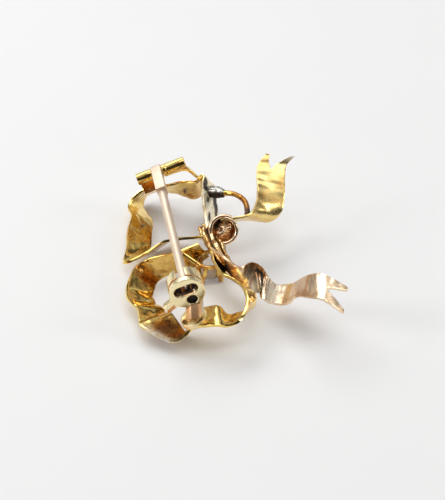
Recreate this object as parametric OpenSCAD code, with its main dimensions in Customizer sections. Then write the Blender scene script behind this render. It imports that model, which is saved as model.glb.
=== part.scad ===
// Bow brooch of gold ribbon, lying on its front with the pin and the catch on top.
// Every piece is drawn in the bow's own frame and then laid down by laid():
// x runs along the hinge towards the tails, y from the catch to the hinge, z out of the back.

/* [Ribbon] */
// How far a share of 1 in the ribbon tables reaches from the middle of the bow
spread = 10; // [9:0.25:12]
// Full width of the ribbon
ribbon_w = 2.9; // [2.4:0.1:3.4]
// Thickness of the ribbon
ribbon_t = 0.26; // [0.2:0.02:0.4]
// Depth of the swallow tail's notch, as a share of the ribbon's width
notch_share = 0.9; // [0.4:0.05:1.3]
// Radius of the rolled curl beside the knot
curl_r = 1.1; // [0.8:0.05:1.3]
// Radius of the gathered knot
knot_r = 0.78; // [0.6:0.02:1.1]

/* [Pin] */
// Height of the pin's centre line above the bow's back
pin_h = 3.1; // [2.9:0.05:3.5]
// Diameter of the round pin stem
pin_d = 0.86; // [0.6:0.02:0.92]
// Width of the flat head that turns in the hinge
head_w = 0.95; // [0.8:0.05:1.1]
// Length of the flat head in front of the hinge's centre line
head_len = 3.6; // [2.5:0.1:5]
// Length of the ground point at the end of the stem
point_len = 1.5; // [0.8:0.1:2]

/* [Hinge] */
// Outer diameter of the hinge tube
tube_d = 1.2; // [1.1:0.05:1.4]
// Length of the tube left of the pin's head
tube_left = 1.6; // [1.2:0.1:2]
// Length of the tube right of the pin's head
tube_right = 2.4; // [1.8:0.1:2.8]
// Diameter of the rivet through the hinge
rivet_d = 0.6; // [0.4:0.02:0.66]
// Running gap between the rivet and the head's hole, all round
run_gap = 0.04; // [0.03:0.01:0.07]
// Gap between the rivet and the tube's bore, all round
seat_gap = 0.02; // [0.01:0.005:0.03]
// Gap on each side of the pin's head
side_gap = 0.08; // [0.05:0.01:0.12]

/* [Catch] */
// Outer diameter of the catch's drum
drum_d = 3.3; // [3.1:0.05:3.6]
// Length of the fixed part of the drum
drum_len = 1.35; // [1.1:0.05:1.5]
// Thickness of the turning collar
collar_t = 0.6; // [0.45:0.05:0.8]
// Outer diameter of the turning sleeve
sleeve_d = 1.9; // [1.76:0.02:2]
// Gap round the pin inside the sleeve and in the slots
pin_gap = 0.12; // [0.08:0.01:0.14]
// Gap between the sleeve or collar and the fixed drum
turn_gap = 0.07; // [0.05:0.01:0.1]
// Length of the collar's lever beyond the collar
lever_len = 1; // [0.8:0.05:1.5]
// Diameter of the post under the drum
post_d = 1.8; // [1.4:0.05:2]
// Diameter of the round foot on the ribbon
foot_d = 2.5; // [2.2:0.05:2.8]

/* [Stone and bail] */
// Diameter of the stone at its girdle
stone_d = 2.16; // [1.8:0.04:2.4]
// Gap between the stone and the metal that holds it
stone_gap = 0.04; // [0.03:0.005:0.06]
// Thickness of a claw
claw_d = 0.32; // [0.26:0.02:0.4]
// Thickness of the bail's wire
wire_d = 0.55; // [0.45:0.05:0.7]

/* [Hidden] */
$fn = 48;
// How the bow lies on the table: turned about y and then about z
roll = 18;
yaw = 10;
rest = spread*[-0.48, 0.05, 0.26];
// Stations between two rows of a ribbon table
fine = 4;
// Places along the pin
hinge_y = 0.93*spread;
catch_y = -0.81*spread;
collar_y = catch_y - drum_len - turn_gap;
pin_tip_y = catch_y - drum_len + 0.1;
head_r = pin_d/2 + 0.3;
// Heights of the hinge's seat and of the place where the catch's foot stands
seat_h = pin_h - 0.45*tube_d;
foot = spread*[-0.03, -1.06, 0.02];
foot_t = 0.5;
bore_r = pin_d/2 + pin_gap;
// The lever's turn below the level and the oval eye in the collar
lever_turn = 24;
eye_w = 0.35*drum_d;
eye_r = 0.17*drum_d;
eye_up = 0.11*drum_d;
slot_w = pin_d + 2*pin_gap;
// The stone's place, its girdle's height below the back and its two cut heights
stone_x = 0.18*spread;
stone_y = -0.13*spread;
girdle_z = -0.96*ribbon_w;
crown_h = 0.18*stone_d;
pavilion_h = 0.42*stone_d;
claw_r = stone_d/2 + stone_gap + claw_d/2;
// Heights of the setting's ring above the girdle and of its wall
ring_up = 1.4;
ring_h = 0.35;

// Ribbon tables. One row for each bend: the place of the edge on the back in shares of spread,
// the way the width runs from there towards the front, and the share of the full width.
// x, y, z, right, away, front, width
far_loop = [
  [ 0.29,  0.12,  0.00,  0.4, 1.9, 2.2, 0.8],
  [ 0.32,  0.40,  0.04,  1.0, 1.8, 2.3, 1.0],
  [ 0.36,  0.75,  0.05,  1.0, 1.6, 2.4, 1.0],
  [ 0.41,  0.97,  0.06,  0.5, 1.1, 2.8, 1.0],
  [ 0.33,  0.86,  0.09, -0.8, 0.9, 2.7, 1.0],
  [ 0.25,  0.86,  0.12, -1.0, 1.3, 2.6, 1.0],
  [ 0.16,  0.89,  0.13, -0.9, 1.7, 2.4, 1.0],
  [ 0.03,  0.90,  0.14, -0.5, 2.1, 2.3, 1.0],
  [-0.11,  0.95,  0.15,  0.0, 2.0, 2.2, 1.0],
  [-0.24,  0.99,  0.12,  0.4, 2.0, 2.2, 1.0],
  [-0.35,  0.99,  0.07,  0.9, 2.0, 2.1, 1.0],
  [-0.41,  0.90,  0.05,  1.2, 1.9, 2.2, 1.0],
  [-0.40,  0.74,  0.06,  1.6, 0.9, 2.3, 1.0],
  [-0.47,  0.49,  0.08,  2.1, 0.8, 2.0, 1.0],
  [-0.51,  0.27,  0.07,  2.1, 1.0, 1.9, 1.0],
  [-0.57,  0.07,  0.05,  2.2, 1.6, 1.2, 1.0],
  [-0.37,  0.12,  0.02,  0.7, 2.3, 1.9, 1.0],
  [-0.15,  0.21,  0.01,  0.6, 2.3, 1.9, 1.0],
  [ 0.04,  0.17,  0.00,  0.5, 2.2, 2.0, 1.0],
  [ 0.25,  0.08,  0.00,  0.4, 1.9, 2.2, 0.8]
];
near_loop = [
  [ 0.18, -0.02,  0.02,  0.5, 0.6, 2.6, 0.8],
  [-0.06, -0.05,  0.05,  0.9, 0.1, 2.8, 1.0],
  [-0.21, -0.07,  0.09,  1.0, 0.0, 2.8, 1.0],
  [-0.34, -0.08,  0.11,  1.1,-0.1, 2.7, 1.0],
  [-0.45, -0.14,  0.12,  1.2,-0.2, 2.6, 1.0],
  [-0.52, -0.24,  0.12,  1.5,-0.2, 2.4, 1.0],
  [-0.58, -0.36,  0.11,  1.8, 0.0, 2.2, 1.0],
  [-0.60, -0.49,  0.10,  2.1, 0.4, 1.9, 1.0],
  [-0.56, -0.61,  0.08,  1.7, 1.1, 1.9, 1.0],
  [-0.53, -0.69,  0.06,  2.0, 1.2, 1.8, 1.0],
  [-0.54, -0.84,  0.05,  2.2, 1.3, 1.3, 1.1],
  [-0.54, -0.91,  0.07,  2.2, 1.1, 0.9, 1.2],
  [-0.49, -0.99,  0.05,  2.1, 1.2, 1.2, 1.2],
  [-0.36, -1.12, -0.01,  1.5, 1.5, 1.6, 1.1],
  [-0.26, -1.18, -0.04,  1.0, 2.1, 1.3, 1.0],
  [-0.17, -1.18, -0.01,  0.8, 2.3, 1.0, 1.0],
  [-0.05, -1.17,  0.03,  0.5, 2.7, 0.6, 1.0],
  [ 0.08, -1.24,  0.05,  0.4, 2.8, 0.3, 1.0],
  [ 0.17, -1.28,  0.05,  0.4, 2.7, 0.3, 1.0],
  [ 0.23, -1.29,  0.03,  0.4, 2.6, 1.1, 0.9],
  [ 0.32, -1.29,  0.02,  0.4, 2.5, 1.2, 1.0],
  [ 0.41, -1.21,  0.01,  0.5, 2.3, 1.7, 1.0],
  [ 0.47, -1.05,  0.00,  0.6, 2.0, 2.1, 1.0],
  [ 0.48, -0.87,  0.00,  0.7, 1.8, 2.3, 1.0],
  [ 0.42, -0.70,  0.00,  0.7, 1.7, 2.4, 1.0],
  [ 0.32, -0.54,  0.00,  0.6, 1.6, 2.4, 1.0],
  [ 0.28, -0.33,  0.00,  0.5, 1.6, 2.4, 0.9],
  [ 0.28, -0.14,  0.00,  0.4, 1.7, 2.3, 0.8]
];
far_tail = [
  [ 0.44,  0.10,  0.10, -0.1, 2.3, 1.9, 1.0],
  [ 0.66,  0.12,  0.04,  0.5, 1.9, 2.2, 1.0],
  [ 0.76,  0.14,  0.03,  1.4, 0.8, 2.4, 1.0],
  [ 0.85,  0.29,  0.04,  1.9,-0.3, 2.1, 1.0],
  [ 0.90,  0.45,  0.08,  2.2,-0.5, 1.6, 1.0],
  [ 0.93,  0.57,  0.12,  2.3,-0.4, 1.3, 1.0],
  [ 0.98,  0.68,  0.15,  2.5,-0.3, 1.0, 1.0],
  [ 1.09,  0.76,  0.18,  2.7,-0.8, 1.0, 1.0]
];
near_tail = [
  [ 0.26, -0.06,  0.00,  0.3, -0.4,  2.2, 0.7],
  [ 0.38, -0.35,  0.04,  0.2, -1.0,  2.0, 0.8],
  [ 0.50, -0.56,  0.02,  0.0, -1.6,  2.1, 0.9],
  [ 0.62, -0.57,  0.03, -0.6, -1.6,  2.3, 1.0],
  [ 0.69, -0.59, -0.04, -0.9, -1.4,  1.8, 0.9],
  [ 0.71, -0.60, -0.15, -0.9, -1.8,  0.6, 0.9],
  [ 0.73, -0.61, -0.24, -1.0, -2.4, -0.2, 0.95],
  [ 0.77, -0.62, -0.31, -1.1, -2.6, -0.6, 1.0],
  [ 0.86, -0.66, -0.31, -1.1, -2.6, -0.3, 1.0],
  [ 0.93, -0.71, -0.28, -1.0, -2.6, -0.3, 1.0],
  [ 0.94, -0.72, -0.27, -0.3, -2.7, -0.8, 1.0],
  [ 1.07, -0.89, -0.09, -0.6, -2.8,  0.0, 1.0],
  [ 1.19, -1.01, -0.02, -0.8, -2.8,  0.4, 1.0],
  [ 1.28, -1.11, -0.04, -1.0, -2.7,  0.4, 1.0],
  [ 1.38, -1.23, -0.10, -1.2, -2.7,  0.3, 1.0]
];
// The narrow strip that carries the hinge tube's right length: z is a share of the seat's height
seat_rows = [
  [ 0.06,  0.90,  1.00,  0.0, 1.0, 0.0, 0.2],
  [ 0.16,  0.90,  1.00,  0.0, 1.0, 0.0, 0.2],
  [ 0.27,  0.89,  0.97,  0.0, 1.0, 0.0, 0.2],
  [ 0.32,  0.88,  0.76,  0.0, 1.0, 0.2, 0.2],
  [ 0.35,  0.88,  0.48,  0.0, 1.0, 0.4, 0.2],
  [ 0.39,  0.92,  0.26,  0.0, 1.0, 0.6, 0.2]
];
// The bail's centre line, in shares of spread: x, y, z
bail_line = [
  [0.41, 0.82, -0.06],
  [0.52, 0.71, -0.05],
  [0.61, 0.66, -0.05],
  [0.69, 0.56, -0.05],
  [0.73, 0.44, -0.05],
  [0.73, 0.32, -0.05],
  [0.71, 0.20, -0.04]
];

seat_strip = [for (r = seat_rows) [r[0], r[1], r[2]*seat_h/spread, r[3], r[4], r[5], r[6]]];

function unit(v) = v/norm(v);
function row(t, i) = t[min(max(i, 0), len(t) - 1)];
function bend(a, b, c, d, s) =
  0.5*(2*b + (c - a)*s + (2*a - 5*b + 4*c - d)*s*s + (3*b - a - 3*c + d)*s*s*s);
function eased(t) = concat(
  [for (i = [0:len(t) - 2]) for (k = [0:fine - 1])
    bend(row(t, i - 1), row(t, i), row(t, i + 1), row(t, i + 2), k/fine)],
  [t[len(t) - 1]]);
// Edge on the back and the whole width at a station
function back_of(s) = spread*[s[0], s[1], s[2]];
function wide_of(s) = unit([s[3], s[4], -s[5]])*ribbon_w*s[6];
function mid_of(s) = back_of(s) + wide_of(s)/2;
// Unit normal of the ribbon's face
function face_of(st, i) =
  unit(cross(mid_of(row(st, i + 1)) - mid_of(row(st, i - 1)), wide_of(st[i])));
// Four corners of the ribbon between the shares a and b of its width
function corners(st, i, a, b) =
  let (p = back_of(st[i]), w = wide_of(st[i]), n = face_of(st, i)*ribbon_t/2)
  [p + w*a - n, p + w*a + n, p + w*b + n, p + w*b - n];

// Faces of the walls between rings, each ring being a list of point numbers
function walls(rings) = [for (i = [0:len(rings) - 2]) for (k = [0:len(rings[0]) - 1])
  let (next = (k + 1)%len(rings[0]), a = rings[i][k], b = rings[i][next], c = rings[i + 1][next])
  each [[a, b, c], [a, c, rings[i + 1][k]]]];
// Faces that close a first ring and a last one
function first_cap(ring) = [for (k = [1:len(ring) - 2]) [ring[0], ring[k + 1], ring[k]]];
function last_cap(ring) = [for (k = [1:len(ring) - 2]) [ring[0], ring[k], ring[k + 1]]];
// Point numbers of n sections of m points, counted from a first one
function rings_of(n, m, first) = [for (i = [0:n - 1]) [for (k = [0:m - 1]) first + m*i + k]];

// Closed solid through a list of sections with the same number of points
module skin(sections) {
  rings = rings_of(len(sections), len(sections[0]), 0);
  polyhedron([for (s = sections) each s],
    concat(walls(rings), first_cap(rings[0]), last_cap(rings[len(rings) - 1])));
}

module ribbon(table) {
  st = eased(table);
  skin([for (i = [0:len(st) - 1]) corners(st, i, 0, 1)]);
}

// Ribbon whose last stretch is cut into two points
module swallow_ribbon(table) {
  st = eased(table);
  last = len(st) - 1;
  cut = last - round(notch_share*fine*1.6);
  long = last - cut;
  whole = rings_of(cut + 1, 4, 0);
  root = whole[cut];
  mid = 4*cut + 4;
  points = concat(
    [for (i = [0:cut]) each corners(st, i, 0, 1)],
    [for (k = [0, 1]) corners(st, cut, 0.5, 1)[k]],
    [for (i = [cut + 1:last]) each corners(st, i, 0, 0.5 - 0.4*(i - cut)/long)],
    [for (i = [cut + 1:last]) each corners(st, i, 0.5 + 0.4*(i - cut)/long, 1)]);
  near_fork = concat([[root[0], root[1], mid + 1, mid]], rings_of(long, 4, mid + 2));
  far_fork = concat([[mid, mid + 1, root[2], root[3]]], rings_of(long, 4, mid + 2 + 4*long));
  // The step before the cut has one corner more at its end, so its two broad faces are fans
  a = whole[cut - 1];
  step = [
    [a[0], a[1], root[1]], [a[0], root[1], root[0]],
    [a[2], a[3], root[3]], [a[2], root[3], root[2]],
    [a[1], a[2], mid + 1], [a[2], root[2], mid + 1], [a[1], mid + 1, root[1]],
    [a[3], a[0], mid], [a[0], root[0], mid], [a[3], mid, root[3]]];
  polyhedron(points, concat(
    first_cap(whole[0]), walls([for (i = [0:cut - 1]) whole[i]]), step,
    walls(near_fork), last_cap(near_fork[long]),
    walls(far_fork), last_cap(far_fork[long])));
}

// Lays a piece on the table as it rests
module laid() {
  translate(rest) rotate([0, -roll, yaw]) children();
}

// Puts a piece on the pin's centre line, its z axis along the pin towards the hinge
module on_pin(y) {
  translate([0, y, pin_h]) rotate([-90, 0, 0]) children();
}

// Four-cornered sections of a ribbon rolled once into a funnel
function curl_corners(middle, away) =
  let (w = unit(away), e = unit(cross(w, [0, 0, 1])), f = cross(w, e), n = 20)
  [for (k = [0:n])
    let (
      a = 388*k/n - 64,
      r = curl_r*(0.84 + 0.16*k/n),
      out = e*cos(a) + f*sin(a),
      rise = w*0.5*ribbon_t*k/n,
      p = middle + out*r + rise,
      q = middle + out*r*0.35 + w*ribbon_w*0.7 + rise,
      t = out*ribbon_t/2)
    [p - t, p + t, q + t, q - t]];

// Round wire of n sides through a list of places
function wire_ring(p, ahead, d, n) =
  let (t = unit(ahead), u = unit(cross(t, [0, 0, 1])), v = cross(t, u))
  [for (k = [0:n - 1]) p + (u*cos(360*k/n) - v*sin(360*k/n))*d/2];
module wire(line, d, n) {
  skin([for (i = [0:len(line) - 1]) wire_ring(line[i], row(line, i + 1) - row(line, i - 1), d, n)]);
}
function eased_line(t) = concat(
  [for (i = [0:len(t) - 2]) for (k = [0:fine - 1])
    spread*bend(row(t, i - 1), row(t, i), row(t, i + 1), row(t, i + 2), k/fine)],
  [spread*t[len(t) - 1]]);

// Gathered ribbon of the knot, a ridged spindle between the loops and the tails
module knot() {
  n = 12;
  rows = 8;
  from = spread*[0.27, 0.24, 0.01];
  to = spread*[0.36, -0.34, -0.03];
  skin([for (i = [0:rows])
    let (s = i/rows)
    [for (k = [0:n - 1])
      let (r = knot_r*(0.55 + 0.45*sin(180*s))*(k%2 == 0 ? 1 : 0.86), a = 60*s - 360*k/n)
      from + (to - from)*s + [r*cos(a), 0, r*sin(a) - 0.3]]]);
}

// Puts the stone and its setting on the level of the girdle, upright as the bow lies
module at_girdle() {
  translate([stone_x, stone_y, girdle_z]) rotate([0, roll, 0]) children();
}

// One claw: a flat V with a lip that reaches under the edge of the stone
module claw() {
  half = claw_d/2;
  top = ring_up + 0.2;
  reach = 0.25*stone_d;
  tip_z = -crown_h - 0.1;
  translate([claw_r - half, 0, 0]) rotate([90, 0, 90]) linear_extrude(claw_d)
    polygon([[-reach - half, top], [-reach + half, top], [0, 0.2], [reach - half, top],
      [reach + half, top], [1.1*half, -0.1], [half, tip_z], [-half, tip_z], [-1.1*half, -0.1]]);
  translate([claw_r - half - 0.12, -0.8*half, tip_z + 0.03]) cube([0.12 + half, 1.6*half, 0.16]);
}

// Claw setting in front of the knot: a ring, four claws and a neck
module setting() {
  difference() {
    translate([0, 0, ring_up]) cylinder(h = ring_h, r = claw_r + 0.1, $fn = 24);
    translate([0, 0, ring_up - 0.1]) cylinder(h = ring_h + 0.2, r = claw_r - 0.2, $fn = 24);
  }
  for (a = [45:90:315]) rotate([0, 0, a]) claw();
  rotate([0, 0, 45]) translate([claw_r - 0.3, -0.4, ring_up]) cube([0.8, 0.8, -girdle_z - ring_up - 0.1]);
}

// Block that carries the hinge tube's left length on the far loop
module left_seat() {
  wall_z = 0.13*spread;
  translate([-head_w/2 - side_gap - 0.9*tube_left, hinge_y - 0.25*tube_d, wall_z])
    cube([0.8*tube_left, 0.5*tube_d, pin_h - 0.3*tube_d - wall_z]);
}

// Tube of the hinge, with room for the pin's head between its two lengths
module hinge_tube() {
  gap = head_w/2 + side_gap;
  translate([0, hinge_y, pin_h]) rotate([0, 90, 0]) {
    difference() {
      union() {
        translate([0, 0, -gap - tube_left]) cylinder(h = tube_left, d = tube_d);
        translate([0, 0, gap]) cylinder(h = tube_right, d = tube_d);
      }
      translate([0, 0, -gap - tube_left - 1])
        cylinder(h = 2*gap + tube_left + tube_right + 2, d = rivet_d + 2*seat_gap);
      translate([0, 0, gap + 0.4]) difference() {
        cylinder(h = 0.06, d = tube_d + 1);
        translate([0, 0, -0.1]) cylinder(h = 0.3, d = tube_d - 0.16);
      }
    }
  }
}

module bail() {
  wire(eased_line(bail_line), wire_d, 8);
  translate(spread*[0.41, 0.8, -0.06]) scale([1.1, 0.7, 0.7]) sphere(r = 0.8, $fn = 14);
}

// Fixed part of the catch: round foot, leaning post and drum with the slot for the pin
module drum_on_post() {
  top = [0.25*post_d, catch_y - drum_len/2, pin_h - drum_d/2 + 0.4];
  lean = top - foot;
  difference() {
    union() {
      translate(foot) cylinder(h = foot_t, d = foot_d);
      translate(foot) rotate([-atan2(lean[1], lean[2]), atan2(lean[0], lean[2]), 0])
        cylinder(h = norm(lean), d = post_d);
      on_pin(catch_y - drum_len) cylinder(h = drum_len, d = drum_d);
    }
    on_pin(catch_y - drum_len - 1) cylinder(h = drum_len + 2, d = sleeve_d + 2*turn_gap);
    translate([-slot_w/2, catch_y - drum_len - 1, pin_h]) cube([slot_w, drum_len + 2, drum_d]);
    on_pin(collar_y - collar_t - turn_gap) cylinder(h = collar_t + 2*turn_gap, d = drum_d + 2*turn_gap);
  }
}

// Joins the ribbons and what is worked from them into one skin
module one_skin() {
  resize([0, 0, 0]) children();
}

module bow() color("gold") laid() {
  one_skin() {
    ribbon(far_loop);
    ribbon(near_loop);
    swallow_ribbon(far_tail);
    swallow_ribbon(near_tail);
    ribbon(seat_strip);
    skin(curl_corners(spread*[0.47, 0.04, 0.02], [-0.2, 2.3, -1.85]));
    knot();
    at_girdle() setting();
    wire([spread*[0.10, -0.14, -0.10], spread*[0.00, -0.02, -0.01]], 1.5*claw_d, 6);
    bail();
    left_seat();
  }
  hinge_tube();
  drum_on_post();
}

module stone() color("white") laid() at_girdle() {
  gem();
}

// Round cut stone seen from behind: eight-fold pavilion, crown and table
module gem() {
  r = stone_d/2;
  n = 16;
  girdle = [for (k = [0:n - 1]) [r*cos(360*k/n), r*sin(360*k/n), 0]];
  table_ring = [for (k = [0:7]) [0.58*r*cos(45*k + 22.5), 0.58*r*sin(45*k + 22.5), -crown_h]];
  points = concat(girdle, table_ring, [[0, 0, pavilion_h], [0, 0, -crown_h]]);
  back = [for (k = [0:n - 1]) [k, (k + 1)%n, n + 8]];
  front = [for (k = [0:7]) each [
    [2*k, n + k, (2*k + 1)%n],
    [(2*k + 1)%n, n + k, (2*k + 2)%n],
    [(2*k + 2)%n, n + k, n + (k + 1)%8],
    [n + k, n + 9, n + (k + 1)%8]]];
  polyhedron(points, concat([for (f = back) [f[0], f[2], f[1]]], [for (f = front) [f[0], f[2], f[1]]]));
}

module hinge_rivet() color("gold") laid() translate([0, hinge_y, pin_h]) rotate([0, 90, 0]) {
  translate([0, 0, -head_w/2 - side_gap - tube_left])
    cylinder(h = head_w + 2*side_gap + tube_left + tube_right, d = rivet_d);
}

// Pin with a flat drilled head and a ground point
module pin_stem() color("khaki") laid() {
  difference() {
    union() {
      translate([-head_w/2, hinge_y, pin_h]) rotate([0, 90, 0]) cylinder(h = head_w, r = head_r);
      translate([-head_w/2, hinge_y - head_len, pin_h - pin_d/2]) cube([head_w, head_len, pin_d/2 + head_r]);
      on_pin(pin_tip_y + point_len) cylinder(h = hinge_y - pin_tip_y - point_len - 0.8, d = pin_d);
      on_pin(pin_tip_y) cylinder(h = point_len, d1 = pin_d*0.35, d2 = pin_d);
    }
    translate([-head_w, hinge_y, pin_h]) rotate([0, 90, 0]) cylinder(h = 2*head_w, d = rivet_d + 2*run_gap);
  }
}

// Turning part of the catch: slotted sleeve, collar and lever
module catch_rotor() color("wheat") laid() {
  difference() {
    union() {
      on_pin(collar_y) cylinder(h = drum_len + turn_gap, d = sleeve_d);
      on_pin(collar_y - collar_t) cylinder(h = collar_t, d = drum_d);
      translate([0, collar_y - collar_t, pin_h]) rotate([0, -lever_turn, 0])
        translate([-drum_d/2 - lever_len, 0, -0.45]) cube([lever_len + 0.5, collar_t, 0.9]);
    }
    on_pin(collar_y - 0.05) cylinder(h = drum_len + 1, r = bore_r);
    translate([-slot_w/2, collar_y + 0.02, pin_h]) cube([slot_w, drum_len + 1, drum_d]);
    on_pin(collar_y - collar_t - 1) {
      translate([eye_w/2, -eye_up, 0]) cylinder(h = 1 + collar_t, r = eye_r);
      translate([-eye_w/2, -eye_up, 0]) cylinder(h = 1 + collar_t, r = eye_r);
      translate([-eye_w/2, -eye_up - eye_r, 0]) cube([eye_w, 2*eye_r, 1 + collar_t]);
      translate([0.06*drum_d, 0.27*drum_d, 0]) cylinder(h = 1 + 0.6*collar_t, r = 0.15*drum_d);
    }
  }
}

bow();
stone();
pin_stem();
hinge_rivet();
catch_rotor();
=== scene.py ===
import bpy
import bmesh
import math
from mathutils import Matrix, Vector, noise


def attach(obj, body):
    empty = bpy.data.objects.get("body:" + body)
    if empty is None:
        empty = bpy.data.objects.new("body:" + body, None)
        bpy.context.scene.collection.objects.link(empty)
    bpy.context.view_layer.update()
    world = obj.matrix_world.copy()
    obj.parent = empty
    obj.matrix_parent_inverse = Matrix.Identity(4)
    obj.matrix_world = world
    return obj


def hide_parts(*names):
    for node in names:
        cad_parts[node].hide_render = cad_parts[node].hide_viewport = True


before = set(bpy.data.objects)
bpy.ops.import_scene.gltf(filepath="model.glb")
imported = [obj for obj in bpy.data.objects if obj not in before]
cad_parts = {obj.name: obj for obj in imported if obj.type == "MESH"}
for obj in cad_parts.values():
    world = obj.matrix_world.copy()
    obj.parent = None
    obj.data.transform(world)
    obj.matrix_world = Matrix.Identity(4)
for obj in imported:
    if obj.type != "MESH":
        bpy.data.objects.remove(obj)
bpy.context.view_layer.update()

# How the brooch lies on the table. Pieces are modelled in mm in its own frame:
# x along the hinge towards the tails, y from the catch to the hinge, z out of the back.
lie = {
    "spread": 10.0,  # mm to one unit of the rows of the ribbons and the bail
    "roll": 18.0,
    "yaw": 10.0,
    "rest": (-4.8, 0.5, 2.6),
}
lieTurn = Matrix.Rotation(math.radians(lie["yaw"]), 4, "Z")
lieTurn @= Matrix.Rotation(math.radians(-lie["roll"]), 4, "Y")
lieMatrix = Matrix.Scale(0.001, 4) @ Matrix.Translation(lie["rest"]) @ lieTurn

bpy.ops.object.select_all(action="DESELECT")


def activeOnly(obj):
    bpy.ops.object.select_all(action="DESELECT")
    obj.select_set(True)
    bpy.context.view_layer.objects.active = obj


def added(name):
    # the object that an operator has just made
    obj = bpy.context.object
    obj.name = name
    obj.data.name = name
    return obj


def applyPlace(obj):
    activeOnly(obj)
    bpy.ops.object.transform_apply(location=True, rotation=True, scale=True)


def modify(obj, kind, **values):
    # adds one modifier and applies it
    activeOnly(obj)
    mod = obj.modifiers.new(kind.title(), kind)
    for key, value in values.items():
        setattr(mod, key, value)
    bpy.ops.object.modifier_apply(modifier=mod.name)


def bevel(obj, width, segments, angle):
    # rounds the edges that are sharper than the angle, in degrees
    modify(obj, "BEVEL", width=width, segments=segments, limit_method="ANGLE",
           angle_limit=math.radians(angle))


def smooth(obj, angle):
    activeOnly(obj)
    bpy.ops.object.shade_smooth_by_angle(angle=math.radians(angle))


def editAll(obj):
    # opens the mesh for editing, all of it selected
    activeOnly(obj)
    bpy.ops.object.mode_set(mode="EDIT")
    bpy.ops.mesh.select_all(action="SELECT")


def closeEdit():
    bpy.ops.object.mode_set(mode="OBJECT")


def joinAll(name, objs):
    bpy.ops.object.select_all(action="DESELECT")
    for obj in objs:
        obj.select_set(True)
    bpy.context.view_layer.objects.active = objs[0]
    bpy.ops.object.join()
    return added(name)


def reshape(obj, at):
    # moves each point to its new place and keeps its way over the piece, as at(point) gives them
    layer = obj.data.attributes.new("way", "FLOAT_VECTOR", "POINT")
    for v in obj.data.vertices:
        v.co, layer.data[v.index].vector = at(v.co)
    obj.data.update()


def pushAlong(obj, amount):
    # moves each point along its normal by amount(point) in mm
    mesh = obj.data
    normals = [v.normal.copy() for v in mesh.vertices]
    for v, n in zip(mesh.vertices, normals):
        v.co += n * amount(v.co)
    mesh.update()


# Uneven surfaces: each wave carries smaller ones
waves = {"finer": 2.3, "share": 0.4}


def crumple(scale, depth, seed):
    # soft uneven relief at a point, in mm
    shift = Vector((seed, seed * 1.7, -seed))

    def at(p):
        fine = noise.noise(p * scale * waves["finer"] + shift)
        return depth * (noise.noise(p * scale + shift) + waves["share"] * fine)
    return at


def bell(x, middle, reach):
    # one at the middle, fading softly to both sides
    return math.exp(-((x - middle) / reach) ** 2)


def handOver(obj, body, material, node):
    # gives a piece its material, puts it on its body and hides the CAD node it stands in for
    obj.data.materials.clear()
    obj.data.materials.append(material)
    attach(obj, body)
    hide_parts(node)


def bowPiece(obj, material):
    # lays a piece of the soldered bow down on the table
    obj.data.transform(lieMatrix)
    obj.data.update()
    handOver(obj, "bow_body", material, "bow")


def stations(rows, fine):
    # rows of numbers eased into each other, fine steps from row to row
    def at(i):
        return rows[min(max(i, 0), len(rows) - 1)]
    out = []
    for i in range(len(rows) - 1):
        a, b, c, d = at(i - 1), at(i), at(i + 1), at(i + 2)
        for k in range(fine):
            s = k / fine
            out.append([0.5 * (2 * q + (r - p) * s + (2 * p - 5 * q + 4 * r - t) * s * s
                               + (3 * q - p - 3 * r + t) * s ** 3) for p, q, r, t in zip(a, b, c, d)])
    out.append(list(rows[-1]))
    return out


# Finishes
def newMaterial(name):
    mat = bpy.data.materials.new(name)
    mat.use_nodes = True
    mat.node_tree.nodes.clear()
    return mat


def put(tree, kind, **values):
    # one shader node with its inputs set by name
    node = tree.nodes.new(kind)
    for key, value in values.items():
        if hasattr(node, key):
            setattr(node, key, value)
        else:
            node.inputs[key.replace("_", " ")].default_value = value
    return node


def feed(tree, inputs, values):
    # links a socket to an input, or sets the input to a number or colour
    for slot, value in zip(inputs, values):
        if isinstance(value, bpy.types.NodeSocket):
            tree.links.new(value, slot)
        else:
            slot.default_value = value


def computed(tree, operation, *values, clamp=False):
    # one sum on sockets and numbers
    node = put(tree, "ShaderNodeMath", operation=operation, use_clamp=clamp)
    feed(tree, node.inputs, values)
    return node.outputs[0]


def ranged(tree, value, before, after=(0.0, 1.0), **values):
    # stretches one range of a value into another
    node = put(tree, "ShaderNodeMapRange", From_Min=before[0], From_Max=before[1],
               To_Min=after[0], To_Max=after[1], **values)
    tree.links.new(value, node.inputs["Value"])
    return node.outputs["Result"]


def blended(tree, share, below, above, **values):
    # lays one colour over another
    node = put(tree, "ShaderNodeMix", data_type="RGBA", **values)
    feed(tree, (node.inputs[0], node.inputs[6], node.inputs[7]), (share, below, above))
    return node.outputs[2]


def clouded(tree, coordinates, **values):
    # noise at the coordinates, from 0 to 1
    node = put(tree, "ShaderNodeTexNoise", **values)
    tree.links.new(coordinates, node.inputs["Vector"])
    return node.outputs["Fac"]


def principled(tree, colour, **values):
    # the material's shader, its colour linked
    shader = put(tree, "ShaderNodeBsdfPrincipled", **values)
    out = put(tree, "ShaderNodeOutputMaterial")
    tree.links.new(colour, shader.inputs["Base Color"])
    tree.links.new(shader.outputs["BSDF"], out.inputs["Surface"])
    return shader


# Wear of the gold, with painted shade and highlights laid on it: ranges of its noises, colours of what lies
# on it, and what they do
goldWearAndShadeLook = {
    "patchRange": (0.42, 0.68), "mottleRange": (0.3, 0.7), "mottleStrength": (0.55, 1.25),
    "washAndSheenColour": (1.0, 0.97, 0.84, 1), "sootAndShadeColour": (0.03, 0.016, 0.008, 1), "sootAndShadeEdge": (0.3, 0.75),
    "scratchRange": (0.5, 0.8), "scratchRoughness": (0.0, 0.16),
    "stainAndShadeRoughness": 0.12, "washAndSheenRoughness": 0.25, "sootAndShadeRoughness": 0.3,
    "washAndSheenMetal": -0.6, "sootAndShadeMetal": -0.9, "pitDepth": 0.3, "relief": 0.00002,
    "scratches": [  # turn, and how the noise is drawn out into lines
        ((0.3, 0.2, 0.5), (0.7, 14, 9)),
        ((1.1, -0.4, 2.0), (11, 0.8, 12)),
    ],
}


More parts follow.
